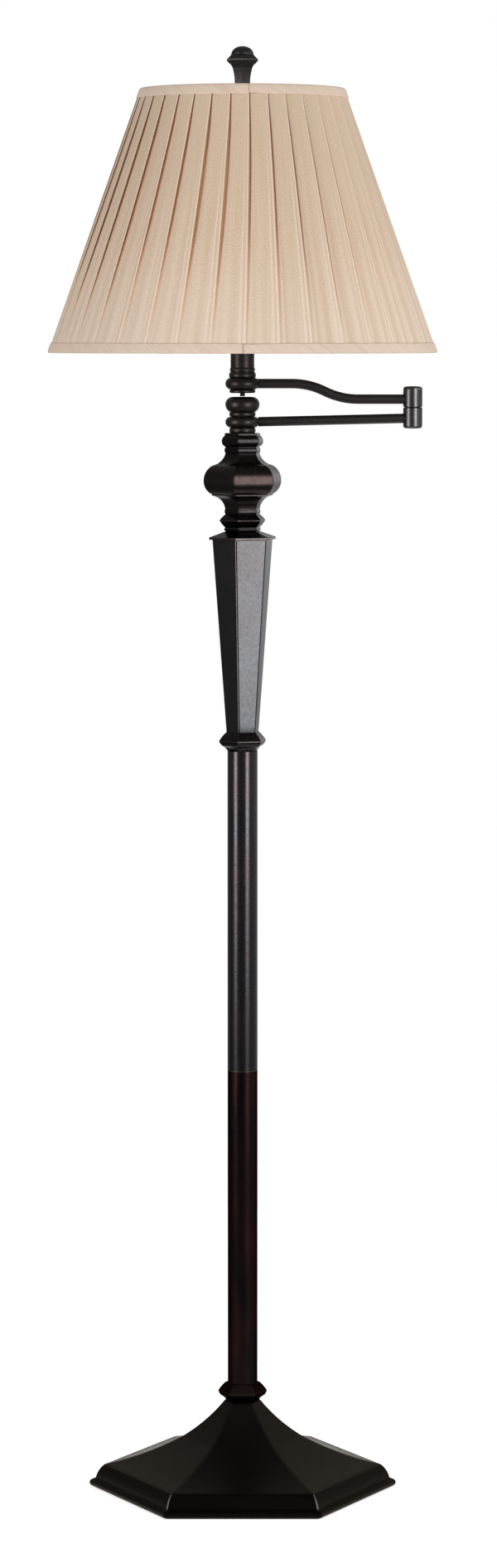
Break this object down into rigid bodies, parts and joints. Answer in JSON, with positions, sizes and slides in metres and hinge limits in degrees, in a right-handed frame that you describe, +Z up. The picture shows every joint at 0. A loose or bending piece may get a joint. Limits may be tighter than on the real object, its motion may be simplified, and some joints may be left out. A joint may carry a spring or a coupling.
{
  "type": "bridge floor lamp",
  "caption": "Floor lamp with a hexagonal base, round pole, tapered hexagonal column with a turned vase, folding arm and a pleated cloth shade.",
  "frame": {"origin": "centre of the base on the floor", "axes": "+Z up the pole, +X along the folded arm towards the elbow, -Y towards the front"},
  "size_m": [0.4051, 0.4052, 1.5231],
  "materials": {
    "dark_bronze": "near-black oil-rubbed bronze, satin",
    "dark_iron": "near-black bronze finish on cast iron, satin",
    "ballast_iron": "rough cast, unpainted",
    "zinc_steel": "zinc-plated steel",
    "brass": "plain brass",
    "socket_brass": "stamped brass, satin",
    "insulator": "white porcelain",
    "black_plastic": "matt black",
    "bulb_cap_metal": "plain aluminium",
    "bulb_glass": "frosted white inside",
    "liner": "off-white styrene sheet",
    "shade_cloth": "champagne slub cloth, knife pleated",
    "shade_trim": "bias-cut band of the same cloth",
    "felt": "black felt"
  },
  "bodies": {
    "stand": {"base_felt": "felt", "base_weight": "ballast_iron", "base_cover": "dark_iron", "cord_bushing": "black_plastic", "base_washer": "zinc_steel", "base_nut": "brass", "base_nipple": "zinc_steel", "base_collar": "dark_bronze", "pole_plugs": "brass", "lower_pole": "dark_bronze", "pole_coupling": "zinc_steel", "upper_pole": "dark_bronze", "upper_collar": "dark_bronze", "tapered_column": "dark_bronze", "column_cap": "dark_bronze", "lower_knop": "dark_bronze", "vase_bulb": "dark_bronze", "vase_lid": "dark_bronze", "upper_knop": "dark_bronze", "centre_pipe": "zinc_steel", "pivot_foot_ring": "dark_bronze", "pivot_bush": "brass", "pivot_spacer": "dark_bronze", "pivot_cap": "dark_bronze"},
    "lower_link": {"lower_hub": "dark_bronze", "lower_arm": "dark_bronze", "elbow_lower": "dark_bronze", "elbow_lower_cap": "dark_bronze", "elbow_rivet": "brass", "elbow_washer": "brass"},
    "upper_link": {"elbow_upper": "dark_bronze", "elbow_upper_cap": "dark_bronze", "upper_arm": "dark_bronze", "upper_hub": "dark_bronze", "hub_foot_ring": "dark_bronze", "hub_bolt": "zinc_steel", "hub_ring": "dark_bronze", "head_post": "dark_bronze", "head_nipple": "zinc_steel", "harp_saddle": "brass", "socket_cup": "socket_brass", "socket_shell": "socket_brass", "socket_body": "insulator", "screw_shell": "socket_brass", "centre_contact": "socket_brass", "harp": "brass", "harp_ferrules": "brass", "harp_stud": "brass", "bulb_cap": "bulb_cap_metal", "bulb_glass": "bulb_glass", "shade_spider": "zinc_steel", "shade_bottom_wire": "zinc_steel", "shade_liner": "liner", "shade_cloth": "shade_cloth", "shade_top_trim": "shade_trim", "shade_bottom_trim": "shade_trim", "finial": "dark_bronze"},
    "switch": {"switch_stem": "zinc_steel", "switch_knob": "black_plastic"}
  },
  "joints": [
    {"name": "arm_swivel", "type": "hinge", "parent": "stand", "child": "lower_link", "pos_m": [0, 0, 1.13435], "axis": [0, 0, 1], "range_deg": [-175, 175]},
    {"name": "elbow", "type": "hinge", "parent": "lower_link", "child": "upper_link", "pos_m": [0.178, 0, 1.14965], "axis": [0, 0, 1], "range_deg": [-180, 180]},
    {"name": "switch_turn", "type": "hinge", "parent": "upper_link", "child": "switch", "pos_m": [0, -0.026, 1.25355], "axis": [0, -1, 0], "continuous": true}
  ]
}
